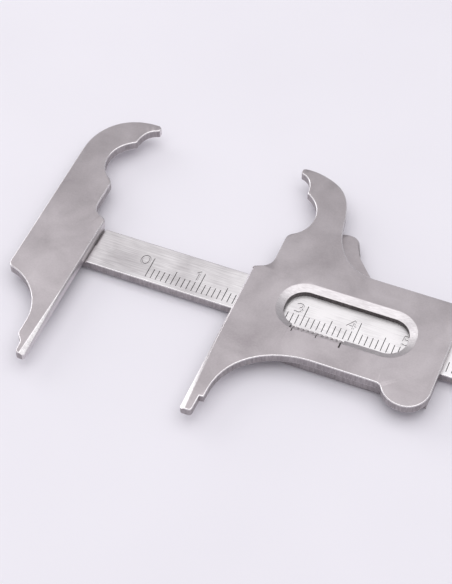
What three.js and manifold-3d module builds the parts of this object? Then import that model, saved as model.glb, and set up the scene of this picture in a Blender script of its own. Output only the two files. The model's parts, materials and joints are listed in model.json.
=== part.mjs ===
// Small slide gauge with a vernier window, a hooked pair of jaws above the beam and a
// straight beaked pair below it. It lies flat: the slider's back plate rests on z = 0.
// Millimetres, +X along the beam away from the fixed jaw, +Z up.
//
// Drawing frame: x = 0 on the beam's scale zero, y = 0 on the beam's centreline. The last
// lines move the finished gauge so that its origin is the bottom centre of its box.

import * as THREE from 'three';
import { mergeVertices } from 'three/addons/utils/BufferGeometryUtils.js';
import Module from 'manifold-3d';

const wasm = await Module();
wasm.setup();

// ---- driving dimensions ---------------------------------------------------------------

const OPENING = 29.4;             // jaw opening at rest
const LONGEST_OPENING = 80;       // the scale runs from 0 to 80 mm
const FIXED_FACE_X = -11.65;      // the fixed measuring face, left of the scale zero
const SLIDER_FACE_X = FIXED_FACE_X + OPENING;

const BEAM_WIDTH = 8.64;
const BEAM_THICKNESS = 1.7;
const BACK_THICKNESS = 0.6;
const FRONT_THICKNESS = 1.75;
const RUNNING_GAP = 0.05;         // between the beam and every face that slides on it

const BEAM_BOTTOM = BACK_THICKNESS + RUNNING_GAP;
const BEAM_TOP = BEAM_BOTTOM + BEAM_THICKNESS;
const FRONT_BOTTOM = BEAM_TOP + RUNNING_GAP;
const TOP = FRONT_BOTTOM + FRONT_THICKNESS;
const RAIL_EDGE = BEAM_WIDTH / 2 + RUNNING_GAP;

const JAW_WIDTH = 11.8;           // fixed jaw, measuring face to outer edge
const SLIDER_LENGTH = 38.6;
const SLIDER_TOP_Y = 10.25;
const SLIDER_BOTTOM_Y = -11.45;
const PLATE_INSET = 0.4;          // rails and back plate stop short of the front plate's edge

const CHAMFER = 0.3;              // along each measuring edge
const CHAMFER_WIDENS_AT = -13;    // below this height the chamfer opens towards the tip
const TIP_Y = -28.95;

const PIN_CLEARANCE = 0.05;       // radial, round every rivet and pin
const ROUND = 18;                 // sides of a rivet or a pin
const CURVE_STEPS = 14;           // steps along each curve of an outline
const PAST = 1;                   // how far a cutter runs past the face it cuts

// ---- solids -----------------------------------------------------------------------------

/** A closed geometry as a solid that can be cut and joined. */
function toSolid(geometry) {
  geometry.deleteAttribute('normal');
  geometry.deleteAttribute('uv');
  const merged = mergeVertices(geometry, 1e-5);
  return new wasm.Manifold(new wasm.Mesh({
    numProp: 3,
    vertProperties: new Float32Array(merged.attributes.position.array),
    triVerts: new Uint32Array(merged.index.array),
  }));
}

/** A solid back as a geometry with flat shading. */
function toGeometry(solid) {
  const { vertProperties, triVerts } = solid.getMesh();
  const geometry = new THREE.BufferGeometry();
  geometry.setAttribute('position', new THREE.BufferAttribute(vertProperties, 3));
  geometry.setIndex(new THREE.BufferAttribute(triVerts, 1));
  const flat = geometry.toNonIndexed();
  flat.computeVertexNormals();
  return flat;
}

/** A flat plate: an outline in x and y, between two heights. */
function plate(outline, low, high) {
  const settings = { depth: high - low, bevelEnabled: false, curveSegments: CURVE_STEPS };
  return toSolid(new THREE.ExtrudeGeometry(outline, settings).translate(0, 0, low));
}

/** An axis-aligned block from its lowest to its highest corner. */
function block(low, high) {
  const size = high.map((value, i) => value - low[i]);
  const middle = high.map((value, i) => (value + low[i]) / 2);
  return toSolid(new THREE.BoxGeometry(...size).translate(...middle));
}

/** The solid between two convex loops of points, both counter-clockwise seen from loop B. */
function convexLoft(loopA, loopB) {
  const n = loopA.length;
  const index = [];
  for (let i = 0; i < n; i += 1) {
    const j = (i + 1) % n;
    index.push(i, j, n + j, i, n + j, n + i);
  }
  for (let i = 1; i < n - 1; i += 1) {
    index.push(0, i + 1, i);
    index.push(n, n + i, n + i + 1);
  }
  const geometry = new THREE.BufferGeometry();
  const positions = new Float32Array([...loopA, ...loopB].flat());
  geometry.setAttribute('position', new THREE.BufferAttribute(positions, 3));
  geometry.setIndex(index);
  return toSolid(geometry);
}

/** A body of revolution about a vertical axis; profile is [radius, height] from low to high. */
function turned(profile, x, y, grow = 0) {
  const low = profile[0][1] - grow;
  const high = profile[profile.length - 1][1] + grow;
  const points = [new THREE.Vector2(0, low)];
  profile.forEach(([r, z], i) => {
    const end = i === 0 ? low : high;
    const inner = i > 0 && i < profile.length - 1;
    points.push(new THREE.Vector2(r + grow, inner ? z : end));
  });
  points.push(new THREE.Vector2(0, high));
  const lathe = new THREE.LatheGeometry(points, ROUND).rotateX(Math.PI / 2).translate(x, y, 0);
  return toSolid(lathe);
}

/** A flush rivet, countersunk at both ends, through plates from one height to another. */
function rivetProfile(low, high, shank, head) {
  const sink = head - shank;
  return [[head, low], [shank, low + sink], [shank, high - sink], [head, high]];
}

const RIVET_SHANK = 0.9;
const RIVET_HEAD = 1.35;
const RIVET_SHY = 0.02;           // each rivet end sits this far below the plate's face

function rivet(x, y, low, high) {
  return turned(rivetProfile(low + RIVET_SHY, high - RIVET_SHY, RIVET_SHANK, RIVET_HEAD), x, y);
}

function rivetHole(x, y, low, high) {
  return turned(rivetProfile(low, high, RIVET_SHANK, RIVET_HEAD), x, y, PIN_CLEARANCE);
}

/** The same solid without each of the holes. */
function drilled(solid, holes) {
  return holes.reduce((rest, hole) => rest.subtract(hole), solid);
}

/** A closed outline through straight corners. */
function polygon(corners) {
  return new THREE.Shape(corners.map(([x, y]) => new THREE.Vector2(x, y)));
}

/** Points round a rounded rectangle, as [x, y, z]. */
function roundedLoop(low, high, radius, z) {
  const loop = [];
  const corners = [
    [high[0] - radius, high[1] - radius, 0],
    [low[0] + radius, high[1] - radius, 1],
    [low[0] + radius, low[1] + radius, 2],
    [high[0] - radius, low[1] + radius, 3],
  ];
  for (const [cx, cy, quarter] of corners) {
    for (let i = 0; i <= CURVE_STEPS; i += 1) {
      const angle = (quarter + i / CURVE_STEPS) * Math.PI / 2;
      loop.push([cx + radius * Math.cos(angle), cy + radius * Math.sin(angle), z]);
    }
  }
  return loop;
}

// ---- outlines of the two jaws, x = 0 on the measuring face --------------------------------

/**
 * The scalloped inside of a hooked upper jaw, from the beam up to the tip's end face.
 * side is +1 where the metal lies towards +X and -1 where it lies towards -X.
 */
function traceHookInside(outline, side) {
  const curve = (ax, ay, bx, by, x, y) => {
    outline.bezierCurveTo(side * ax, ay, side * bx, by, side * x, y);
  };
  outline.lineTo(0, 4.1);
  curve(0, 5.2, 0.6, 5.3, 1.3, 5.65);
  curve(2.4, 6.1, 3.0, 6.9, 3.0, 8.2);
  outline.lineTo(side * 3.0, 13.4);
  curve(3.05, 14.6, 3.9, 14.9, 4.6, 15.55);
  curve(5.7, 16.6, 6.35, 18.2, 6.3, 20.0);
  curve(6.2, 22.4, 4.9, 24.3, 2.9, 25.4);
  curve(2.75, 27.6, 2.1, 29.2, 0.35, 29.75);
  outline.lineTo(0, 30.0);
  outline.lineTo(0, 30.8);
}

/** The fixed jaw: a hook above, a straight back, and a beak with a concave shoulder below. */
function fixedJawOutline() {
  const outline = new THREE.Shape();
  outline.moveTo(0, TIP_Y + 0.35);
  traceHookInside(outline, -1);
  outline.lineTo(-0.5, 31.25);
  outline.bezierCurveTo(-7.6, 31.6, -11.8, 26.6, -JAW_WIDTH, 20.0);
  outline.lineTo(-JAW_WIDTH, -10.9);
  outline.lineTo(-11.2, -11.7);
  outline.bezierCurveTo(-7.6, -12.3, -3.3, -16.3, -3.05, -21.5);
  outline.lineTo(-3.05, -24.6);
  outline.bezierCurveTo(-3.0, -25.6, -1.9, -25.8, -1.8, -26.9);
  outline.lineTo(-1.7, TIP_Y + 0.6);
  outline.quadraticCurveTo(-1.6, TIP_Y, -1.1, TIP_Y);
  outline.lineTo(-0.35, TIP_Y);
  outline.closePath();
  return outline;
}

/** The slider's front plate: hook, body with a thumb rest at its lower right, and beak. */
function frontPlateOutline() {
  const outline = new THREE.Shape();
  outline.moveTo(0, TIP_Y + 0.35);
  traceHookInside(outline, 1);
  outline.lineTo(0.6, 31.25);
  outline.bezierCurveTo(2.6, 31.5, 5.2, 30.8, 7.2, 29.7);
  outline.bezierCurveTo(10.4, 27.9, 11.3, 24.4, 11.9, 20.6);
  outline.bezierCurveTo(12.8, 14.6, 16.2, 10.25, 21.5, SLIDER_TOP_Y);
  outline.lineTo(SLIDER_LENGTH - 1.6, SLIDER_TOP_Y);
  outline.quadraticCurveTo(SLIDER_LENGTH, SLIDER_TOP_Y, SLIDER_LENGTH, SLIDER_TOP_Y - 1.6);
  outline.lineTo(SLIDER_LENGTH, -10.2);
  outline.bezierCurveTo(38.5, -12.6, 36.7, -14.6, 34.4, -14.6);
  outline.bezierCurveTo(32.6, -14.6, 31.1, -13.7, 30.3, -12.4);
  outline.quadraticCurveTo(29.8, SLIDER_BOTTOM_Y, 28.9, SLIDER_BOTTOM_Y);
  outline.lineTo(16.5, SLIDER_BOTTOM_Y);
  outline.bezierCurveTo(9.2, -11.9, 3.3, -16.3, 3.05, -23.5);
  outline.lineTo(3.0, -25.4);
  outline.lineTo(2.25, -25.5);
  outline.lineTo(2.15, TIP_Y + 0.6);
  outline.quadraticCurveTo(2.1, TIP_Y, 1.5, TIP_Y);
  outline.lineTo(0.35, TIP_Y);
  outline.closePath();
  return outline;
}

/** Cutters for the chamfer along a measuring edge, wider towards the beak's tip. */
function measuringChamfer(side) {
  const section = (y, across, down) => {
    const corners = [
      [-side * across, y, TOP + down], [side * across, y, TOP], [0, y, TOP - down],
    ];
    return side > 0 ? corners : corners.reverse();
  };
  const plain = section(CHAMFER_WIDENS_AT, CHAMFER, CHAMFER);
  return [
    convexLoft(plain, section(4.6, CHAMFER, CHAMFER)),
    convexLoft(section(TIP_Y - PAST, 0.95, 0.55), plain),
  ];
}

// ---- beam and fixed jaw -------------------------------------------------------------------

const STOP_SHANK = 0.65;
const STOP_RADIUS = 0.8;
const STOP_X = FIXED_FACE_X + LONGEST_OPENING + SLIDER_LENGTH + STOP_RADIUS + 0.1;
const BEAM_END_X = STOP_X + 1.7;
const BEAM_START_X = FIXED_FACE_X - JAW_WIDTH + 0.5;
const JAW_RIVETS = [[-3.4, 0], [-8.6, 2.3], [-8.6, -2.3]].map(([x, y]) => [FIXED_FACE_X + x, y]);

function makeBeam() {
  const half = BEAM_WIDTH / 2;
  const bar = block([BEAM_START_X, -half, BEAM_BOTTOM], [BEAM_END_X, half, BEAM_TOP]);
  const holes = JAW_RIVETS.map(([x, y]) => rivetHole(x, y, BEAM_BOTTOM, TOP));
  const stopWall = [[STOP_SHANK, BEAM_BOTTOM - PAST], [STOP_SHANK, BEAM_TOP + PAST]];
  const stopHole = turned(stopWall, STOP_X, 0, PIN_CLEARANCE);
  const reliefHigh = block(
    [FIXED_FACE_X, 0.15, BEAM_TOP - 0.7],
    [FIXED_FACE_X + 0.45, half + PAST, BEAM_TOP + PAST],
  );
  const reliefLow = block(
    [FIXED_FACE_X, -half - PAST, BEAM_TOP - 0.3],
    [FIXED_FACE_X + 0.3, 0.15, BEAM_TOP + PAST],
  );
  return drilled(bar, [...holes, stopHole, reliefHigh, reliefLow]);
}

function makeFixedJaw() {
  const jaw = plate(fixedJawOutline(), BEAM_TOP, TOP).translate(FIXED_FACE_X, 0, 0);
  const chamfer = measuringChamfer(-1).map((cutter) => cutter.translate(FIXED_FACE_X, 0, 0));
  const holes = JAW_RIVETS.map(([x, y]) => rivetHole(x, y, BEAM_BOTTOM, TOP));
  return drilled(jaw, [...chamfer, ...holes]);
}

/** The stop at the beam's far end: a shank in the beam and a low round head on it. */
function makeStop() {
  const seat = BEAM_TOP + PIN_CLEARANCE;
  return turned([
    [STOP_SHANK, BEAM_BOTTOM + RIVET_SHY], [STOP_SHANK, seat], [STOP_RADIUS, seat],
    [STOP_RADIUS, seat + 0.55], [STOP_RADIUS - 0.2, seat + 0.75],
  ], STOP_X, 0);
}

// ---- slider, x = 0 on its measuring face ----------------------------------------------------

const WINDOW_LOW = [8.4, -4.5];
const WINDOW_HIGH = [31.35, 3.45];
const WINDOW_RADIUS = 3.6;
const WINDOW_BEVEL = 1.4;          // how wide the dished rim is
const WINDOW_BEVEL_DEPTH = 0.7;
const VERNIER_ZERO = -FIXED_FACE_X;
const VERNIER_LENGTH = 9;          // ten divisions over nine millimetres
const LAND_REACH = 0.35;           // the vernier land reaches this far into the window
const LAND_THICKNESS = 0.3;        // and is this thick at its edge

const RIVETS = {
  lower: [[5.2, -7.4], [20.0, -8.2], [35.0, -8.0]],
  upperFront: [[5.4, 6.4], [10.2, 6.9]],
  upperRear: [[35.8, 7.2]],
};
const ALL_RIVETS = Object.values(RIVETS).flat();

const PIVOT = [17.5, 7.6];
const PIVOT_RADIUS = 1.2;
const LEVER_GAP = 0.15;            // above and below the lever

/** The window: straight below, dished above, with the thin vernier land left standing. */
function windowCutters() {
  const landEnds = [VERNIER_ZERO - 0.6, VERNIER_ZERO + VERNIER_LENGTH + 0.35];
  const bevelFoot = TOP - WINDOW_BEVEL_DEPTH;
  const land = block(
    [landEnds[0], WINDOW_LOW[1] - PAST, FRONT_BOTTOM - PAST],
    [landEnds[1], WINDOW_LOW[1] + LAND_REACH, TOP + PAST],
  );
  const straight = convexLoft(
    roundedLoop(WINDOW_LOW, WINDOW_HIGH, WINDOW_RADIUS, FRONT_BOTTOM - PAST),
    roundedLoop(WINDOW_LOW, WINDOW_HIGH, WINDOW_RADIUS, TOP + PAST),
  ).subtract(land);
  // The dish runs on past the top face at the same slope.
  const stretch = (WINDOW_BEVEL_DEPTH + PAST) / WINDOW_BEVEL_DEPTH;
  const reach = WINDOW_BEVEL * stretch;
  const outerLow = WINDOW_LOW.map((value) => value - reach);
  const outerHigh = WINDOW_HIGH.map((value) => value + reach);
  const dish = convexLoft(
    roundedLoop(WINDOW_LOW, WINDOW_HIGH, WINDOW_RADIUS, bevelFoot),
    roundedLoop(outerLow, outerHigh, WINDOW_RADIUS + reach, TOP + PAST),
  );
  const rimY = WINDOW_LOW[1] - WINDOW_BEVEL;
  const landY = WINDOW_LOW[1] + LAND_REACH;
  const landTop = FRONT_BOTTOM + LAND_THICKNESS;
  const landSection = (x) => [
    [x, rimY, TOP], [x, landY, landTop], [x, landY + PAST, landTop],
    [x, landY + PAST, TOP + PAST], [x, rimY, TOP + PAST],
  ];
  const slope = convexLoft(landSection(landEnds[0]), landSection(landEnds[1]));
  return [straight, dish, slope];
}

function makeFrontPlate() {
  const outline = plate(frontPlateOutline(), FRONT_BOTTOM, TOP);
  const holes = ALL_RIVETS.map(([x, y]) => rivetHole(x, y, 0, TOP));
  return drilled(outline, [...measuringChamfer(1), ...windowCutters(), ...holes, pivotHole()]);
}

function makeBackPlate() {
  const [left, right] = [1.4, SLIDER_LENGTH - PLATE_INSET];
  const [bottom, top] = [SLIDER_BOTTOM_Y + 2 * PLATE_INSET, SLIDER_TOP_Y - 2 * PLATE_INSET];
  const sheet = block([left, bottom, 0], [right, top, BACK_THICKNESS]);
  const holes = ALL_RIVETS.map(([x, y]) => rivetHole(x, y, 0, TOP));
  return drilled(sheet, [...holes, pivotHole()]);
}

/** A rail between the two plates, beside the beam. */
function makeRail(corners, rivets) {
  const bar = plate(polygon(corners), BACK_THICKNESS, FRONT_BOTTOM);
  return drilled(bar, rivets.map(([x, y]) => rivetHole(x, y, 0, TOP)));
}

const RAIL_END = SLIDER_LENGTH - PLATE_INSET;
const LOWER_RAIL = [
  [1.4, -RAIL_EDGE], [1.4, -10.2], [8.0, SLIDER_BOTTOM_Y + PLATE_INSET],
  [RAIL_END, SLIDER_BOTTOM_Y + PLATE_INSET], [RAIL_END, -RAIL_EDGE],
];
const UPPER_FRONT_RAIL = [
  [1.2, RAIL_EDGE], [12.2, RAIL_EDGE], [12.2, 9.45], [4.0, 9.45], [3.8, 7.2], [1.8, 5.5],
];
const UPPER_REAR_RAIL = [
  [23.5, 9.0], [33.4, 9.0], [33.4, RAIL_EDGE], [RAIL_END, RAIL_EDGE],
  [RAIL_END, SLIDER_TOP_Y - PLATE_INSET], [23.5, SLIDER_TOP_Y - PLATE_INSET],
];

/** The release lever: a thumb tab above, a pivot, and a nose that brakes on the beam. */
function makeLever() {
  const outline = new THREE.Shape();
  outline.moveTo(27.2, RAIL_EDGE + 0.08);
  outline.lineTo(30.4, RAIL_EDGE + 0.08);
  outline.lineTo(30.7, 5.4);
  outline.lineTo(30.2, 7.0);
  outline.lineTo(21.9, 8.3);
  outline.bezierCurveTo(21.7, 9.8, 20.8, 11.3, 19.7, 12.4);
  outline.lineTo(17.6, 14.75);
  outline.bezierCurveTo(16.6, 15.8, 16.5, 16.7, 16.1, 17.8);
  outline.bezierCurveTo(15.6, 19.3, 14.9, 20.05, 13.6, 20.05);
  outline.bezierCurveTo(12.0, 20.05, 10.8, 19.6, 10.8, 18.0);
  outline.lineTo(12.9, 12.4);
  outline.lineTo(12.9, 6.6);
  outline.lineTo(13.9, 5.3);
  outline.lineTo(26.6, 5.3);
  outline.closePath();
  const lever = plate(outline, BACK_THICKNESS + LEVER_GAP, FRONT_BOTTOM - LEVER_GAP);
  return drilled(lever, [pivotHole()]);
}

function pivotHole() {
  return turned([[PIVOT_RADIUS, -PAST], [PIVOT_RADIUS, TOP + PAST]], ...PIVOT, PIN_CLEARANCE);
}

function makePivotPin() {
  return turned([[PIVOT_RADIUS, RIVET_SHY], [PIVOT_RADIUS, TOP - RIVET_SHY]], ...PIVOT);
}

/** A bowed leaf between the upper rail and the lever's arm; it pushes the nose down. */
function makeLeafSpring() {
  const outline = new THREE.Shape();
  const [left, right, top, bow, thickness] = [24.2, 32.4, 8.9, 7.5, 0.22];
  const [ends, dip] = [top - thickness, bow - thickness];
  outline.moveTo(left, top);
  outline.bezierCurveTo(left + 2, bow, right - 2.6, bow, right, top);
  outline.lineTo(right, ends);
  outline.bezierCurveTo(right - 2.6, dip, left + 2, dip, left, ends);
  outline.closePath();
  return plate(outline, BACK_THICKNESS + 2 * LEVER_GAP, FRONT_BOTTOM - 2 * LEVER_GAP);
}

// ---- the assembly ---------------------------------------------------------------------------

const satinSteel = { color: 0xb4b1b1, roughness: 0.42, metalness: 1 };
const brushedSteel = { color: 0xcbc8c8, roughness: 0.3, metalness: 1 };
const springSteel = { color: 0x8e8c88, roughness: 0.35, metalness: 1 };

const gauge = new THREE.Group();
const slider = new THREE.Group();
slider.position.x = SLIDER_FACE_X;
gauge.add(slider);

function add(parent, name, solid, finish) {
  const mesh = new THREE.Mesh(toGeometry(solid), new THREE.MeshStandardMaterial(finish));
  mesh.name = name;
  parent.add(mesh);
}

add(gauge, 'beam', makeBeam(), brushedSteel);
add(gauge, 'fixed_jaw', makeFixedJaw(), satinSteel);
JAW_RIVETS.forEach(([x, y], i) => {
  add(gauge, `fixed_jaw_rivet_${i + 1}`, rivet(x, y, BEAM_BOTTOM, TOP), satinSteel);
});
add(gauge, 'end_stop', makeStop(), satinSteel);

add(slider, 'slider_front_plate', makeFrontPlate(), satinSteel);
add(slider, 'slider_back_plate', makeBackPlate(), satinSteel);
add(slider, 'lower_rail', makeRail(LOWER_RAIL, RIVETS.lower), satinSteel);
add(slider, 'upper_rail_front', makeRail(UPPER_FRONT_RAIL, RIVETS.upperFront), satinSteel);
add(slider, 'upper_rail_rear', makeRail(UPPER_REAR_RAIL, RIVETS.upperRear), satinSteel);
ALL_RIVETS.forEach(([x, y], i) => {
  add(slider, `slider_rivet_${i + 1}`, rivet(x, y, 0, TOP), satinSteel);
});
add(slider, 'release_lever', makeLever(), satinSteel);
add(slider, 'lever_pivot_pin', makePivotPin(), satinSteel);
add(slider, 'lever_leaf_spring', makeLeafSpring(), springSteel);

const centre = new THREE.Box3().setFromObject(gauge).getCenter(new THREE.Vector3());
gauge.position.set(-centre.x, -centre.y, 0);

export default gauge;
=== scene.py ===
# %% [markdown]
# # A small vernier slide gauge in satin stainless steel
#
# The real gauge is a stack of thin steel plates. A flat beam carries a millimetre scale. A
# fixed jaw is riveted on its left end, and a slider made of two plates and three rails runs
# along it. The slider's front plate has a dished window, so that the scale shows through.
#
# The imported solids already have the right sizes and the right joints. What they lack is what
# a workshop adds: eased edges, engraved lines and the marks of each machine. This lesson adds
# those, piece by piece, and then lights the gauge and aims a camera at it.

# %% Load the frame
import json
import math

import bmesh
import bpy
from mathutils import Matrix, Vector

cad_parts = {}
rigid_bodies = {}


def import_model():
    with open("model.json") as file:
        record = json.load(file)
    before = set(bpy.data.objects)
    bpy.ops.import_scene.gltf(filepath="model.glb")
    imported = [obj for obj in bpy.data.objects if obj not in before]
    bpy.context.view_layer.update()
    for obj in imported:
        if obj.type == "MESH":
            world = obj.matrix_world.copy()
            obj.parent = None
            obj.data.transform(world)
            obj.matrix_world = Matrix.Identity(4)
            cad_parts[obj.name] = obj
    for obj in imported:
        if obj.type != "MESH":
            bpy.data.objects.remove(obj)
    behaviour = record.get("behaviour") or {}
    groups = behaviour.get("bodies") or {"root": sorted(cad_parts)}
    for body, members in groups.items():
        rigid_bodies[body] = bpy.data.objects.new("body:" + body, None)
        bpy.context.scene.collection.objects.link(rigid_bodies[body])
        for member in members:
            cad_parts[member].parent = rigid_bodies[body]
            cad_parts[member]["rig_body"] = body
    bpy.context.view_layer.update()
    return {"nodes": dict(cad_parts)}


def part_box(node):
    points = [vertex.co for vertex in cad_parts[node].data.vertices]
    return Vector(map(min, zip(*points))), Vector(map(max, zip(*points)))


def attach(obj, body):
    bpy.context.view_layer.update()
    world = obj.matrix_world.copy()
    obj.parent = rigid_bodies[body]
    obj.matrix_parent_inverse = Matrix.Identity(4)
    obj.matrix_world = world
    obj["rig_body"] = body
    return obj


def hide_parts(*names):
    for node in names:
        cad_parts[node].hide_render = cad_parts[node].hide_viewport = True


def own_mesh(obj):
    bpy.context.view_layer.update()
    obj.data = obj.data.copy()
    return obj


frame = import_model()
nodes = frame["nodes"]
MM = 0.001

# %% [markdown]
# ## Landmarks
#
# Every later step needs the same few places: the top of the beam, the zero of the scale and
# the zero of the vernier. They could be typed in, but measuring them from the solids means
# that they stay right if the solids change. Both zeros sit the same distance to the right of
# their measuring faces, so the gauge reads zero when the jaws meet.

# %% Measure the landmarks
ZERO_FROM_FACE = 11.65 * MM
beam_low, beam_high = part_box("beam")
BEAM_TOP = beam_high.z
BEAM_MID_Y = (beam_low.y + beam_high.y) / 2
SCALE_ZERO_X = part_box("fixed_jaw")[1].x + ZERO_FROM_FACE
SLIDER_FACE_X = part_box("slider_front_plate")[0].x
VERNIER_ZERO_X = SLIDER_FACE_X + ZERO_FROM_FACE
PLATE_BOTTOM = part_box("slider_front_plate")[0].z
PLATE_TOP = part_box("slider_front_plate")[1].z
print("reading, mm:", round((VERNIER_ZERO_X - SCALE_ZERO_X) / MM, 2))

# %% [markdown]
# ## Two helpers for materials
#
# Colours are written as sRGB hex values, which is how people pick them, but shaders work in
# linear light, so one function converts them. Node trees are built with one more function:
# it adds a node, sets its properties and inputs, and links other nodes into it.

# %% Colour and node helpers
def linear(hex_colour):
    """An sRGB hex colour as the linear RGBA that a shader takes."""
    channels = [int(hex_colour[i:i + 2], 16) / 255 for i in (1, 3, 5)]
    return [c / 12.92 if c <= 0.04045 else ((c + 0.055) / 1.055) ** 2.4 for c in channels] + [1]


def add_node(tree, kind, settings=None, links=None):
    """Adds a node. settings holds properties and input values, links the sockets to join."""
    node = tree.nodes.new(kind)
    for name, value in (settings or {}).items():
        if isinstance(name, str) and name in node.bl_rna.properties:
            setattr(node, name, value)
        else:
            node.inputs[name].default_value = value
    for name, socket in (links or {}).items():
        tree.links.new(socket, node.inputs[name])
    return node


# %% [markdown]
# ## One recipe for every steel finish
#
# All the steel here is the same metal. What differs is the tool that last touched it, and
# each tool leaves marks of its own length, width and depth. Glass beads leave round dimples,
# a belt leaves long streaks and a milling cutter leaves short steps up the wall.
#
# A picture of metal could be wrapped round the parts, but a procedural pattern has no seams
# and can be sized in real millimetres. The recipe stretches one noise pattern to the size of
# the tool's marks, and adds a slower noise for cloudy patches like those that handling and
# blasting leave. The two together move the colour and the roughness a little, and the marks
# alone make the bump.

# %% The steel recipe
def steel(name, dark, light, rough, marks_mm, depth_mm, marks_share, clouds_mm, clouds_share):
    """Stainless steel with tool marks of a real size; rough is (smoothest, roughest)."""
    material = bpy.data.materials.new(name)
    material.use_nodes = True
    tree = material.node_tree
    shader = tree.nodes["Principled BSDF"]
    shader.inputs["Metallic"].default_value = 1
    place = add_node(tree, "ShaderNodeTexCoord").outputs["Object"]
    stretched = add_node(
        tree, "ShaderNodeMapping",
        {"Scale": [1 / (size * MM) for size in marks_mm]}, {"Vector": place},
    )
    marks = add_node(
        tree, "ShaderNodeTexNoise",
        {"Scale": 1, "Detail": 3, "Roughness": 0.65}, {"Vector": stretched.outputs[0]},
    )
    clouds = add_node(
        tree, "ShaderNodeTexNoise",
        {"Scale": 1 / (clouds_mm * MM), "Detail": 3, "Distortion": 0.4}, {"Vector": place},
    )
    # Each noise is centred on 0.5, so the second term takes that middle away again.
    cloudy = add_node(
        tree, "ShaderNodeMath",
        {"operation": "MULTIPLY_ADD", 1: clouds_share, 2: 0.5 - (clouds_share + marks_share) / 2},
        {0: clouds.outputs[0]},
    )
    tone = add_node(
        tree, "ShaderNodeMath",
        {"operation": "MULTIPLY_ADD", "use_clamp": True, 1: marks_share},
        {0: marks.outputs[0], 2: cloudy.outputs[0]},
    )
    colour = add_node(
        tree, "ShaderNodeMix", {"data_type": "RGBA"}, {"Factor": tone.outputs[0]},
    )
    colour.inputs[6].default_value = linear(dark)
    colour.inputs[7].default_value = linear(light)
    gloss = add_node(
        tree, "ShaderNodeMapRange", {"To Min": rough[1], "To Max": rough[0]},
        {"Value": tone.outputs[0]},
    )
    bump = add_node(
        tree, "ShaderNodeBump", {"Distance": depth_mm * MM}, {"Height": marks.outputs[0]},
    )
    tree.links.new(colour.outputs[2], shader.inputs["Base Color"])
    tree.links.new(gloss.outputs[0], shader.inputs["Roughness"])
    tree.links.new(bump.outputs[0], shader.inputs["Normal"])
    print("finish:", name)
    return material


# %% [markdown]
# ## The finishes
#
# - **Bead-blasted plate.** Beads of about 0.1 mm leave a soft even grey with no direction.
#   Dimples that small can't be seen from here, so they are drawn about 0.35 mm across.
# - **Belt-ground beam.** The belt runs along the beam, so its streaks are long in X and
#   narrow in Y. It leaves a brighter face than the beads do.
# - **Milled wall.** The edge of each plate shows upright steps, tall in Z and narrow in X and
#   Y, with a rougher and darker look than the faces.
# - **Milled window rim.** The dish is lighter than the plate, with marks that run along the
#   slot; its lighter colour is a painted reflection. The upright wall inside it is painted much
#   darker, as painted shade for the shade inside the window.
# - **Rubbed edge.** Handling polishes edges first, so they are smoother. Their lighter colour
#   is a painted highlight, which makes them the brightest steel.
# - **Rolled spring strip** and **blackened engraving** finish the list.

# %% Make the finishes
blasted = steel(
    "bead_blasted_stainless", "#9f989b", "#cdc6c9", (0.34, 0.44),
    (0.35, 0.35, 0.35), 0.004, 0.4, 7, 1.3,
)
ground = steel(
    "belt_ground_stainless", "#a39da0", "#fbf8f9", (0.38, 0.48),
    (5.0, 0.16, 0.16), 0.004, 0.9, 9, 1.2,
)
wall = steel(
    "milled_wall_stainless", "#837d7f", "#bcb6b8", (0.34, 0.5),
    (0.3, 0.3, 2.4), 0.012, 1.5, 4, 0.6,
)
# Painted reflection: the rim's lighter colour stands in for the light that the dish mirrors.
rim = steel(
    "milled_rim_painted_reflection", "#bab4b6", "#eeeaec", (0.34, 0.48),
    (1.4, 0.22, 0.22), 0.008, 1.1, 5, 0.4,
)
# Painted shade: this dark colour stands in for the shade inside the window, down to the beam.
shaded_wall = steel(
    "painted_shade_window_wall", "#393536", "#6b6566", (0.4, 0.55),
    (0.3, 0.3, 2.4), 0.012, 1.3, 4, 0.6,
)
# Partly painted highlight: the edges are smoother, and their lighter colour paints the bright edge
# lines.
edge = steel(
    "rubbed_edge_painted_highlight", "#d8d3d5", "#fbf9fa", (0.18, 0.3),
    (0.6, 0.6, 0.6), 0.003, 1.2, 5, 0.8,
)
spring = steel(
    "tempered_spring_strip", "#6f6b66", "#8f8b85", (0.28, 0.38),
    (3.0, 0.2, 0.2), 0.003, 0.8, 6, 0.4,
)
engraved = steel(
    "blackened_engraving", "#3a3838", "#6a6666", (0.5, 0.7),
    (0.25, 0.25, 0.25), 0.004, 1.2, 3, 0.4,
)

# %% [markdown]
# ## Which way the belt ran
#
# A belt's streaks act like a row of tiny mirrors that are curved across the streak and flat
# along it, so they smear a reflection sideways. The shader does that when it is told the
# direction of the smear, which is Y because the streaks run along X.

# %% Give the ground finish its direction
across = add_node(ground.node_tree, "ShaderNodeCombineXYZ", {"Y": 1})
ground_shader = ground.node_tree.nodes["Principled BSDF"]
ground_shader.inputs["Anisotropic"].default_value = 0.8
ground.node_tree.links.new(across.outputs[0], ground_shader.inputs["Tangent"])
print("directional finish:", ground.name)

# %% [markdown]
# ## Painted light along the beam
#
# A ramp along X paints light on the beam: it lightens the beam from 9 mm past the scale's zero
# to 30 mm past it, so that the beam in and beyond the slider's window shows brighter than the
# lamps alone make it. The ramp adds to the tone that already mixes the finish's dark and light
# colours.

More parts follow.
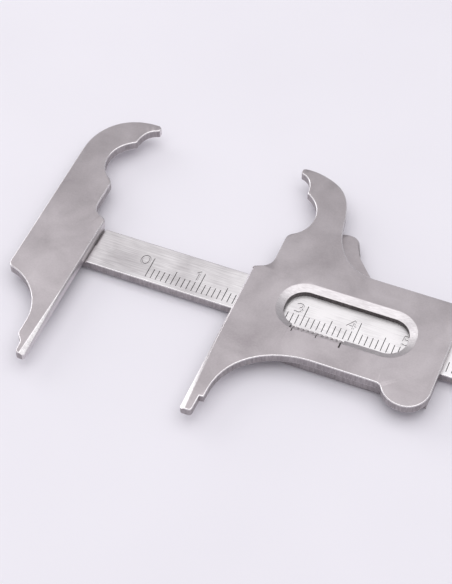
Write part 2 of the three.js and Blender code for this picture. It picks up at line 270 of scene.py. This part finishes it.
# %% Paint light along the beam, lighter towards the right
# Painted light: this ramp lightens the beam towards the right.
PAINTED_LIGHT_START, PAINTED_LIGHT_END, PAINTED_LIGHT_SHARE = 9 * MM, 30 * MM, 0.5
beam_place = add_node(ground.node_tree, "ShaderNodeTexCoord").outputs["Object"]
along_beam = add_node(ground.node_tree, "ShaderNodeSeparateXYZ", links={"Vector": beam_place})
painted_light_ramp = add_node(
    ground.node_tree, "ShaderNodeMapRange",
    {"From Min": SCALE_ZERO_X + PAINTED_LIGHT_START, "From Max": SCALE_ZERO_X + PAINTED_LIGHT_END,
     "To Max": PAINTED_LIGHT_SHARE},
    {"Value": along_beam.outputs["X"]},
)
tone_mix = ground_shader.inputs["Base Color"].links[0].from_node
painted_light_tone = add_node(
    ground.node_tree, "ShaderNodeMath", {"operation": "ADD", "use_clamp": True},
    {0: tone_mix.inputs["Factor"].links[0].from_socket, 1: painted_light_ramp.outputs[0]},
)
ground.node_tree.links.new(painted_light_tone.outputs[0], tone_mix.inputs["Factor"])
print("wear, mm from the scale's zero:", PAINTED_LIGHT_START / MM, "to", PAINTED_LIGHT_END / MM)

# %% [markdown]
# ## Easing the edges
#
# A blasted steel plate never has a knife edge: tumbling and blasting round it over by about
# a tenth of a millimetre. That tiny curve catches the light and draws the bright line that
# makes a plate look like steel, so it is worth real geometry.
#
# The solids are made of triangles, and a bevel over loose triangles goes wrong, so each copy
# is first tidied: touching corners are merged and flat triangles are dissolved into whole
# faces. Then two bevels run, a narrow one for shallow corners such as the window's dish, and a
# wider one for square corners. Only edges that border a level face are taken for the wide one,
# because rounding the upright corners too would fold the mesh over itself where they meet. An
# edge at a sharp corner that is too short for the bevel is left alone for the same reason. The
# rims of the rivet holes are left sharp.

# %% Edge helpers
RIVETS = sorted(name for name in nodes if "rivet" in name or name == "lever_pivot_pin")
RIVET_MIDDLES = {name: sum(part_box(name), Vector()) / 2 for name in RIVETS}
HOLE_REACH = 1.7 * MM             # how near a rivet's middle counts as the rim of its hole
SAME_CORNER = 0.002 * MM          # corners closer together than this are merged
SHARP_FROM = math.radians(38)     # edges that turn by more are shaded as sharp
CORNER_FROM = math.radians(50)    # upright edges that turn by more are sharp corners
NEARLY_LEVEL = 0.9                # how upright the normal of a level face is, at least
CRAMPED = 1.6                     # bevel widths that an edge at a sharp corner needs


def near_rivet(point):
    """Whether a point is on a rivet hole, seen from above."""
    return any((point - at).to_2d().length < HOLE_REACH for at in RIVET_MIDDLES.values())


def tidy_copy(node):
    """A copy of a CAD node with its corners merged and its flat triangles joined."""
    bm = bmesh.new()
    bm.from_mesh(nodes[node].data)
    bmesh.ops.remove_doubles(bm, verts=bm.verts, dist=SAME_CORNER)
    bmesh.ops.dissolve_limit(
        bm, angle_limit=math.radians(0.6), verts=bm.verts, edges=bm.edges,
    )
    return bm


def new_mesh(bm, name, finishes):
    """A mesh from bm, smooth but for its corners, without the solid's own shading directions."""
    for face in bm.faces:
        face.smooth = True
    mesh = bpy.data.meshes.new(name)
    bm.to_mesh(mesh)
    bm.free()
    if "custom_normal" in mesh.attributes:
        mesh.attributes.remove(mesh.attributes["custom_normal"])
    for finish in finishes:
        mesh.materials.append(finish)
    mesh.set_sharp_from_angle(angle=SHARP_FROM)
    return mesh


def touches_level(edge):
    """Whether an edge borders a level face."""
    return any(abs(face.normal.z) > NEARLY_LEVEL for face in edge.link_faces)


def at_corner(edge):
    """Whether an edge ends at a sharp upright corner."""
    return any(
        near.calc_face_angle(0) > CORNER_FROM and not touches_level(near)
        for vertex in edge.verts for near in vertex.link_edges
    )


def ease(bm, width_mm, least, most, wanted=lambda centre: True):
    """Rounds the wanted edges whose faces turn by between least and most degrees."""
    bm.normal_update()
    chosen = []
    for edge in bm.edges:
        turn = math.degrees(edge.calc_face_angle(0))
        centre = (edge.verts[0].co + edge.verts[1].co) / 2
        if not least < turn <= most or not touches_level(edge) or near_rivet(centre):
            continue
        cramped = edge.calc_length() < CRAMPED * width_mm * MM and at_corner(edge)
        if wanted(centre) and not cramped:
            chosen.append(edge)
    bmesh.ops.bevel(
        bm, geom=chosen, offset=width_mm * MM, offset_type="OFFSET", segments=3,
        profile=0.5, affect="EDGES", loop_slide=True,
    )


# %% [markdown]
# ## From a tidy mesh to a finished piece
#
# The bevel can push a corner a hair outside the plate where two edges meet at a sharp tip, so
# every point is brought back inside the solid's own box. Faces then take a finish by the way
# they point: level ones are the blasted or ground faces, upright ones are walls and the ones
# in between are rubbed edges, whose lighter colour is a painted highlight. The large faces
# are then split into triangles, because a face with a hundred corners and a few tiny faults in
# its outline can lose a whole patch when it is cut. Last, a weighted normal modifier keeps the
# flat faces flat while the eased edges stay smooth.

# %% Piece helper
WALL_BELOW, LEVEL_ABOVE = 0.2, 0.985    # how upright a face's normal is


def make_piece(bm, node, finishes, pick):
    """Turns a mesh into a shown piece that stands for a CAD node and rides on its body."""
    low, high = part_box(node)
    for vertex in bm.verts:
        for axis in range(3):
            vertex.co[axis] = min(max(vertex.co[axis], low[axis]), high[axis])
    bm.normal_update()
    for face in bm.faces:
        face.material_index = pick(face)
    bmesh.ops.triangulate(bm, faces=[face for face in bm.faces if len(face.verts) > 4])
    mesh = new_mesh(bm, node + "_finished", finishes)
    piece = bpy.data.objects.new(node + "_finished", mesh)
    bpy.context.scene.collection.objects.link(piece)
    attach(piece, nodes[node]["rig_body"])
    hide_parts(node)
    even = piece.modifiers.new("even_normals", "WEIGHTED_NORMAL")
    even.keep_sharp = True
    print("piece:", piece.name, len(mesh.polygons), "faces")
    return piece


def face_wall_or_edge(face):
    """0 for a level face, 1 for an upright wall, 2 for a rubbed edge with a painted highlight."""
    if abs(face.normal.z) < WALL_BELOW:
        return 1
    return 2 if abs(face.normal.z) < LEVEL_ABOVE else 0


# %% [markdown]
# ## The plates
#
# The fixed jaw, the slider's back plate, the release lever and the three rails are plain
# plates, so they all go through the same three steps. A loop does it, with the width of the
# eased edge as the only thing that changes: the jaw's is the widest. The jaw's measuring face
# is treated as ground flat, unlike the other walls, so it takes the rim's finish, whose lighter
# colour is a painted reflection.

# %% Finish the plain plates
PLAIN_PLATES = {
    "fixed_jaw": 0.18,
    "slider_back_plate": 0.12,
    "release_lever": 0.06,
    "lower_rail": 0.08,
    "upper_rail_front": 0.08,
    "upper_rail_rear": 0.08,
}
JAW_FACE_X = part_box("fixed_jaw")[1].x
JAW_FACE_REACH, FACES_RIGHT = 0.6 * MM, 0.6


def plate_finish(face):
    """The usual finishes, with 3 for the jaw's ground measuring face."""
    at_face = abs(face.calc_center_median().x - JAW_FACE_X) < JAW_FACE_REACH
    return 3 if at_face and face.normal.x > FACES_RIGHT else face_wall_or_edge(face)


for plate_name, eased_mm in PLAIN_PLATES.items():
    plate_mesh = tidy_copy(plate_name)
    ease(plate_mesh, eased_mm / 2, 20, 50)
    ease(plate_mesh, eased_mm, 50, 130)
    make_piece(plate_mesh, plate_name, [blasted, wall, edge, rim], plate_finish)

# %% [markdown]
# ## Cutting engraved strokes
#
# The lines and numerals were pressed or cut into the steel, so they are real grooves here and
# not paint. Each stroke is a path, and the cutter that follows it has two sloping sides and a
# floor. At a bend, the corners sit on the bisector, so that the two stretches meet without a
# gap. The sides are kept steeper than 38 degrees: gentler ones would be shaded as if they
# flowed into the face, and the groove would fade away.
#
# All the cutters for one piece go into one mesh, and a single Boolean takes them away. The
# Boolean also hands the cutter's materials to the faces that it cuts, which colours the sides
# and the floor of each groove without any painting.

# %% Stroke cutters
ABOVE = 0.05 * MM                 # how far a cutter stands above the surface


def add_stroke(bm, path, width_mm, floor_mm, depth_mm, closed=False, sides=0, floor=0):
    """Adds a cutter along a path on the surface; sides and floor are material numbers."""
    count = len(path)
    slope = (width_mm - floor_mm) / 2 / depth_mm
    top_half = width_mm * MM / 2 + slope * ABOVE
    floor_half = floor_mm * MM / 2
    lift = Vector((0, 0, ABOVE))
    drop = Vector((0, 0, depth_mm * MM))
    sections = []
    for i, point in enumerate(path):
        back = path[(i - 1) % count] if closed or i > 0 else point
        ahead = path[(i + 1) % count] if closed or i < count - 1 else point
        first = (point - back).to_2d()
        second = (ahead - point).to_2d()
        along = (first.normalized() + second.normalized()).normalized()
        # A bend widens the section by one over the cosine of half its angle.
        lean = max(along.dot((second if second.length else first).normalized()), 0.5)
        side = Vector((-along.y, along.x, 0)) / lean
        corners = [
            point + side * top_half + lift, point - side * top_half + lift,
            point - side * floor_half - drop, point + side * floor_half - drop,
        ]
        sections.append([bm.verts.new(corner) for corner in corners])
    for i in range(count if closed else count - 1):
        here, there = sections[i], sections[(i + 1) % count]
        for k in range(4):
            m = (k + 1) % 4
            face = bm.faces.new([here[k], here[m], there[m], there[k]])
            face.material_index = floor if k == 2 else sides
    if not closed:
        bm.faces.new(sections[0][::-1]).material_index = sides
        bm.faces.new(sections[-1]).material_index = sides


def engrave(piece, bm, finishes):
    """Cuts the strokes out of a piece."""
    bmesh.ops.recalc_face_normals(bm, faces=bm.faces)
    mesh = bpy.data.meshes.new("cutter")
    bm.to_mesh(mesh)
    bm.free()
    for finish in finishes:
        mesh.materials.append(finish)
    cutter = bpy.data.objects.new("cutter", mesh)
    bpy.context.scene.collection.objects.link(cutter)
    cut = piece.modifiers.new("engraving", "BOOLEAN")
    cut.object = cutter
    cut.solver = "EXACT"
    cut.use_self = True
    cut.material_mode = "TRANSFER"
    even = piece.modifiers["even_normals"]
    even.show_viewport = False
    bpy.context.view_layer.update()
    seen = piece.evaluated_get(bpy.context.evaluated_depsgraph_get())
    plain = piece.data
    piece.data = bpy.data.meshes.new_from_object(seen)
    piece.data.name = plain.name
    piece.modifiers.remove(cut)
    even.show_viewport = True
    bpy.data.objects.remove(cutter)
    bpy.data.meshes.remove(plain)
    piece.data.set_sharp_from_angle(angle=SHARP_FROM)
    print("engraved:", piece.name, len(piece.data.polygons), "faces")


# %% [markdown]
# ## The shape of the numerals
#
# A font would bring someone's drawing with it, and these stamped numerals are simpler than
# any font. Each is a few strokes in a box one unit wide and one unit high: straight runs are
# given by their ends, and round ones by an arc with a centre, two radii and two angles.

# %% Numerals as strokes
def arc(x, y, across, up, start, end, steps=14):
    """Points along part of an ellipse, from one angle to another in degrees."""
    angles = [math.radians(start + (end - start) * i / steps) for i in range(steps + 1)]
    return [(x + across * math.cos(a), y + up * math.sin(a)) for a in angles]


NUMERALS = {
    0: [arc(0.5, 0.5, 0.46, 0.5, 0, 360)],
    1: [[(0.5, 0.8), (0.78, 1.0), (0.78, 0.0)]],
    2: [arc(0.5, 0.72, 0.4, 0.28, 165, -40) + [(0.1, 0.0), (0.92, 0.0)]],
    3: [arc(0.46, 0.76, 0.36, 0.24, 150, -80), arc(0.46, 0.27, 0.42, 0.27, 80, -150)],
    4: [[(0.7, 0.0), (0.7, 1.0)], [(0.7, 1.0), (0.06, 0.3), (0.96, 0.3)]],
    5: [[(0.86, 1.0), (0.24, 1.0), (0.2, 0.56)] + arc(0.46, 0.31, 0.4, 0.31, 110, -145)],
    6: [arc(0.86, 0.32, 0.76, 0.68, 100, 180), arc(0.5, 0.3, 0.38, 0.3, 0, 360)],
    7: [[(0.08, 1.0), (0.92, 1.0), (0.38, 0.0)]],
    8: [arc(0.5, 0.76, 0.34, 0.24, 0, 360), arc(0.5, 0.26, 0.42, 0.26, 0, 360)],
}
print("numerals:", sorted(NUMERALS))

# %% [markdown]
# ## The beam and its scale
#
# The scale is one line for each millimetre from 0 to 80. All the lines start near the lower
# edge. Every fifth is longer, and every tenth is longer still and has its centimetre numeral
# to the left. The lines were cut with a narrow tool and blackened. The numerals were stamped
# with a wider, flat-nosed one. Their floors stay bright and only the two sides hold the dark
# filling, so each stroke reads as a thin double line.
#
# The beam's own edges are eased too, except at its root, where the jaw covers them.

# %% Make the beam
SCALE_LENGTH = 80
LINE_FOOT = -3.44                 # below the beam's centreline, mm
LINE_TOPS = {10: 1.18, 5: -0.30, 1: -1.23}
LINE_WIDTH, LINE_FLOOR, LINE_DEPTH = 0.14, 0.02, 0.08
NUMERAL_LOW, NUMERAL_SIZE = (-2.25, -0.78), (1.65, 2.0)
NUMERAL_WIDTH, NUMERAL_FLOOR, NUMERAL_DEPTH = 0.36, 0.22, 0.08
BEAM_EASED, ROOT_COVERED = 0.16, 1.2 * MM


def on_beam(x_mm, y_mm):
    """A point on the beam's face, from the scale's zero and the beam's centreline."""
    return Vector((SCALE_ZERO_X + x_mm * MM, BEAM_MID_Y + y_mm * MM, BEAM_TOP))


beam_mesh = tidy_copy("beam")
ease(beam_mesh, BEAM_EASED, 50, 130, lambda centre: centre.x > JAW_FACE_X + ROOT_COVERED)
beam = make_piece(beam_mesh, "beam", [ground, wall, edge], face_wall_or_edge)
scale_cutter = bmesh.new()
for mark in range(SCALE_LENGTH + 1):
    step = next(s for s in (10, 5, 1) if mark % s == 0)
    ends = [on_beam(mark, LINE_FOOT), on_beam(mark, LINE_TOPS[step])]
    add_stroke(scale_cutter, ends, LINE_WIDTH, LINE_FLOOR, LINE_DEPTH)
for numeral, strokes in NUMERALS.items():
    for stroke in strokes:
        looped = (Vector(stroke[0]) - Vector(stroke[-1])).length < 1e-6
        points = [
            on_beam(
                10 * numeral + NUMERAL_LOW[0] + u * NUMERAL_SIZE[0],
                NUMERAL_LOW[1] + v * NUMERAL_SIZE[1],
            )
            for u, v in (stroke[:-1] if looped else stroke)
        ]
        add_stroke(
            scale_cutter, points, NUMERAL_WIDTH, NUMERAL_FLOOR, NUMERAL_DEPTH, looped, floor=1,
        )
engrave(beam, scale_cutter, [engraved, ground])

# %% [markdown]
# ## The slider's front plate
#
# This is the piece that the eye goes to. Its window was milled with a sloping cutter, which
# left a dished rim round the slot and, along the lower side, a thin land that comes down
# close to the beam. The vernier is cut across that land: ten divisions in nine millimetres.
# Each division is a deep notch, and three of them, at 0, 5 and 10, run on as dark lines over
# the plate's face.
#
# Its faces take five finishes. Level ones are blasted, upright ones are milled, the outer
# edges are rubbed and carry a painted highlight, the slopes into the window are the rim with
# its painted reflection, and the wall inside the window is painted dark as shade. The
# measuring face keeps a crisp edge, as a ground face has. It is set back by a hundredth of a
# millimetre, so that the closed jaws meet without merging.

# %% Make the front plate
RIM_SLOPES = (0.35, 0.97)         # how upright a rim face's normal is
LAND_EDGE_Y, LAND_EDGE_Z = -4.15, PLATE_BOTTOM + 0.3 * MM
RIM_OUTER_Y = -5.9                # this and LAND_EDGE_Y in mm from the beam's centreline
WINDOW_X, WINDOW_Y = (6.6 * MM, 33.2 * MM), (-6.3 * MM, 5.2 * MM)
DISH_EASED, WINDOW_EASED, OUTER_EASED = 0.07, 0.12, 0.18
CRISP_REACH, SET_BACK = 0.35 * MM, 0.01 * MM
DIVISION = 0.9
NOTCH_FOOT, MARK_TOP = -5.5, LAND_EDGE_Y + 0.2
NOTCH_CUT = (0.42, 0.04, 0.22)    # width, floor and depth, mm
LONG_FLOOR, LONG_DEPTH = 0.04, 0.1
LONG_MARKS = {0: (-6.5, 0.2), 5: (-6.4, 0.16), 10: (-6.9, 0.3)}    # foot and width, mm


def in_window(centre):
    """Whether a point is in the window or on its dished rim."""
    return (
        SLIDER_FACE_X + WINDOW_X[0] < centre.x < SLIDER_FACE_X + WINDOW_X[1]
        and WINDOW_Y[0] < centre.y - BEAM_MID_Y < WINDOW_Y[1]
    )


def is_tumbled(centre):
    """Whether an edge is an outer one, away from the crisp edge of the measuring face."""
    return not in_window(centre) and centre.x > SLIDER_FACE_X + CRISP_REACH


def front_finish(face):
    """The usual three finishes outside; 3 for the rim, painted reflection; 4 for the wall, painted
    shade.
    """
    if not in_window(face.calc_center_median()):
        return face_wall_or_edge(face)
    if RIM_SLOPES[0] < face.normal.z < RIM_SLOPES[1]:
        return 3
    return 0 if abs(face.normal.z) > RIM_SLOPES[1] else 4


def on_land(x_mm, y_mm):
    """A point on the land, or on the plate's face beyond it, from the vernier's zero."""
    share = (y_mm - LAND_EDGE_Y) / (RIM_OUTER_Y - LAND_EDGE_Y)
    z = LAND_EDGE_Z + min(share, 1) * (PLATE_TOP - LAND_EDGE_Z)
    return Vector((VERNIER_ZERO_X + x_mm * MM, BEAM_MID_Y + y_mm * MM, z))


front_mesh = tidy_copy("slider_front_plate")
ease(front_mesh, DISH_EASED, 20, 50)
ease(front_mesh, WINDOW_EASED, 50, 130, in_window)
ease(front_mesh, OUTER_EASED, 50, 130, is_tumbled)
for vertex in front_mesh.verts:
    vertex.co.x = max(vertex.co.x, SLIDER_FACE_X + SET_BACK)
front = make_piece(
    front_mesh, "slider_front_plate", [blasted, wall, edge, rim, shaded_wall], front_finish,
)
vernier_cutter = bmesh.new()
for mark in range(11):
    notch = [on_land(DIVISION * mark, NOTCH_FOOT), on_land(DIVISION * mark, MARK_TOP)]
    add_stroke(vernier_cutter, notch, *NOTCH_CUT, sides=1, floor=1)
for mark, (foot, width) in LONG_MARKS.items():
    line = [on_land(DIVISION * mark, y) for y in (foot, RIM_OUTER_Y, MARK_TOP)]
    add_stroke(vernier_cutter, line, width, LONG_FLOOR, LONG_DEPTH)
engrave(front, vernier_cutter, [engraved, wall])

# %% [markdown]
# ## Rivets and the lever's pin
#
# Each rivet was set cold: the press swells it until it fills its hole, and then both ends are
# ground level with the plates, so that only a hairline shows. The solids keep a running gap
# round every rivet. Here each one is swollen by most of that gap and stretched to the faces.
# The lever's pin is the exception: it fills its holes in the two plates, but it keeps its gap
# where the lever turns on it. Four cuts across the pin give it the two small shoulders.

# %% Set the rivets
SWELL = 0.042 * MM
LEVEL = 0.019 * MM
ON_AXIS = 0.1 * MM
SHOULDER = (0.05 * MM, 0.12 * MM)    # how far past the lever each shoulder starts and ends
lever_low, lever_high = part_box("release_lever")


def runs_in_lever(rivet, z):
    """Whether a height on a rivet is one where the lever turns on it."""
    in_reach = lever_low.z - 2 * SHOULDER[0] < z < lever_high.z + 2 * SHOULDER[0]
    return rivet == "lever_pivot_pin" and in_reach


for rivet_name in RIVETS:
    rivet_mesh = tidy_copy(rivet_name)
    if rivet_name == "lever_pivot_pin":
        for reach in SHOULDER:
            for cut_z in (lever_low.z - reach, lever_high.z + reach):
                bmesh.ops.bisect_plane(
                    rivet_mesh, geom=rivet_mesh.verts[:] + rivet_mesh.edges[:] + rivet_mesh.faces[:],
                    plane_co=(0, 0, cut_z), plane_no=(0, 0, 1),
                )
    axis_at = RIVET_MIDDLES[rivet_name]
    for vertex in rivet_mesh.verts:
        arm = (vertex.co - axis_at).to_2d()
        if arm.length > ON_AXIS and not runs_in_lever(rivet_name, vertex.co.z):
            vertex.co.xy += arm.normalized() * SWELL
        vertex.co.z += LEVEL if vertex.co.z > axis_at.z else -LEVEL
    rivet_mesh.normal_update()
    for rivet_face in rivet_mesh.faces:
        rivet_face.material_index = 0
    set_mesh = new_mesh(rivet_mesh, rivet_name + "_set", [blasted])
    set_rivet = bpy.data.objects.new(rivet_name + "_set", set_mesh)
    bpy.context.scene.collection.objects.link(set_rivet)
    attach(set_rivet, nodes[rivet_name]["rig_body"])
    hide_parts(rivet_name)
print("rivets set:", len(RIVETS))

# %% [markdown]
# ## The leaf spring
#
# A bowed strip pushes the lever back out. When the lever is pressed, the bow has to give, or
# the two would pass through each other. Here the strip is not bent or flattened: it only takes
# the spring finish, on a mesh of its own.

# %% Make the leaf spring
spring_mesh = tidy_copy("lever_leaf_spring")
leaf = make_piece(spring_mesh, "lever_leaf_spring", [spring], lambda face: 0)
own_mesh(leaf)

# %% [markdown]
# ## What stays as it is
#
# The end stop already has the right shape, so its solid stays and only takes a finish. A weld
# and a small bevel, both as modifiers, ease its edges without touching the solid underneath.

# %% Finish the end stop
stop = nodes["end_stop"]
stop.data.materials.clear()
stop.data.materials.append(blasted)
weld = stop.modifiers.new("weld", "WELD")
weld.merge_threshold = SAME_CORNER
eased = stop.modifiers.new("eased_edges", "BEVEL")
eased.width = 0.04 * MM
eased.segments = 2
eased.limit_method = "ANGLE"
print("carried:", stop.name)

# %% [markdown]
# ## The table
#
# The gauge lies on a matt white sheet. A plain plane would do, but a faint lavender tint and
# a very slow change of tone keep it from looking like an empty background.

# %% Make the table
FLOOR_HALF = 1.2
FLOOR_Z = -0.02 * MM              # a hair below the gauge, so that no two faces coincide
floor_mesh = bpy.data.meshes.new("table_top")
floor_mesh.from_pydata(
    [(-FLOOR_HALF, -FLOOR_HALF, FLOOR_Z), (FLOOR_HALF, -FLOOR_HALF, FLOOR_Z),
     (FLOOR_HALF, FLOOR_HALF, FLOOR_Z), (-FLOOR_HALF, FLOOR_HALF, FLOOR_Z)],
    [], [(0, 1, 2, 3)],
)
floor = bpy.data.objects.new("table_top", floor_mesh)
bpy.context.scene.collection.objects.link(floor)
sheet = bpy.data.materials.new("matt_white_sheet")
sheet.use_nodes = True
sheet_shader = sheet.node_tree.nodes["Principled BSDF"]
sheet_shader.inputs["Roughness"].default_value = 0.6
sheet_place = add_node(sheet.node_tree, "ShaderNodeTexCoord").outputs["Object"]
sheet_noise = add_node(
    sheet.node_tree, "ShaderNodeTexNoise", {"Scale": 25, "Detail": 2}, {"Vector": sheet_place},
)
sheet_tone = add_node(
    sheet.node_tree, "ShaderNodeMix", {"data_type": "RGBA"}, {"Factor": sheet_noise.outputs[0]},
)
sheet_tone.inputs[6].default_value = linear("#ebe8ef")
sheet_tone.inputs[7].default_value = linear("#f2eff6")
sheet.node_tree.links.new(sheet_tone.outputs[2], sheet_shader.inputs["Base Color"])
floor_mesh.materials.append(sheet)

# %% [markdown]
# ## Light
#
# Steel shows whatever stands round it, so the light is really a large white shape to be
# mirrored. One wide panel hangs level above the gauge. Its far edge stops just short of where
# the flat faces look, so they stay grey and grow brighter towards the viewer, while every
# eased edge that turns to the viewer mirrors the panel itself and draws a white line. A second
# and lower panel stands to the left like a window and sends the shadows to the right.

# %% Hang the lights
def add_panel(name, place, width, height, watts, aim=(0.0, 0.0, 0.0)):
    """A soft rectangular lamp that points at a spot."""
    light = bpy.data.lights.new(name, "AREA")
    light.shape = "RECTANGLE"
    light.size = width
    light.size_y = height
    light.energy = watts
    panel = bpy.data.objects.new(name, light)
    panel.location = place
    panel.rotation_euler = (Vector(aim) - Vector(place)).to_track_quat("-Z", "Y").to_euler()
    bpy.context.scene.collection.objects.link(panel)
    return panel


add_panel("overhead_panel", (0.04, 0.02, 0.6), 1.04, 0.84, 2.95, (0.04, 0.02, 0.0))
add_panel("left_window", (-0.75, 0.22, 0.32), 0.6, 0.5, 1.6)
sky = bpy.data.worlds.new("pale_tent")
bpy.context.scene.world = sky
sky.use_nodes = True
sky.node_tree.nodes["Background"].inputs["Color"].default_value = linear("#e9e8ec")
sky.node_tree.nodes["Background"].inputs["Strength"].default_value = 0.57
bpy.context.scene.view_settings.view_transform = "Standard"

# %% [markdown]
# ## The camera
#
# A long lens from about 30 cm gives the flat, even look of a catalogue picture. The camera is
# placed by where it looks, how far away it stands, how far it has walked round the gauge and
# how high it looks down from, because those four numbers are easy to change one at a time.

# %% Place the camera
LOOK_AT = Vector((SCALE_ZERO_X + 15.007 * MM, BEAM_MID_Y - 1.2915 * MM, BEAM_TOP))
DISTANCE = 301.433 * MM
AROUND, ABOVE_HORIZON = math.radians(22.261), math.radians(50.443)
towards = Vector((
    math.sin(AROUND) * math.cos(ABOVE_HORIZON),
    -math.cos(AROUND) * math.cos(ABOVE_HORIZON),
    math.sin(ABOVE_HORIZON),
))
lens = bpy.data.cameras.new("catalogue_lens")
lens.sensor_width = 36
lens.lens = 103.25
lens.clip_start = 0.01
camera = bpy.data.objects.new("catalogue_camera", lens)
camera.location = LOOK_AT + towards * DISTANCE
camera.rotation_euler = (-towards).to_track_quat("-Z", "Y").to_euler()
bpy.context.scene.collection.objects.link(camera)
bpy.context.scene.camera = camera
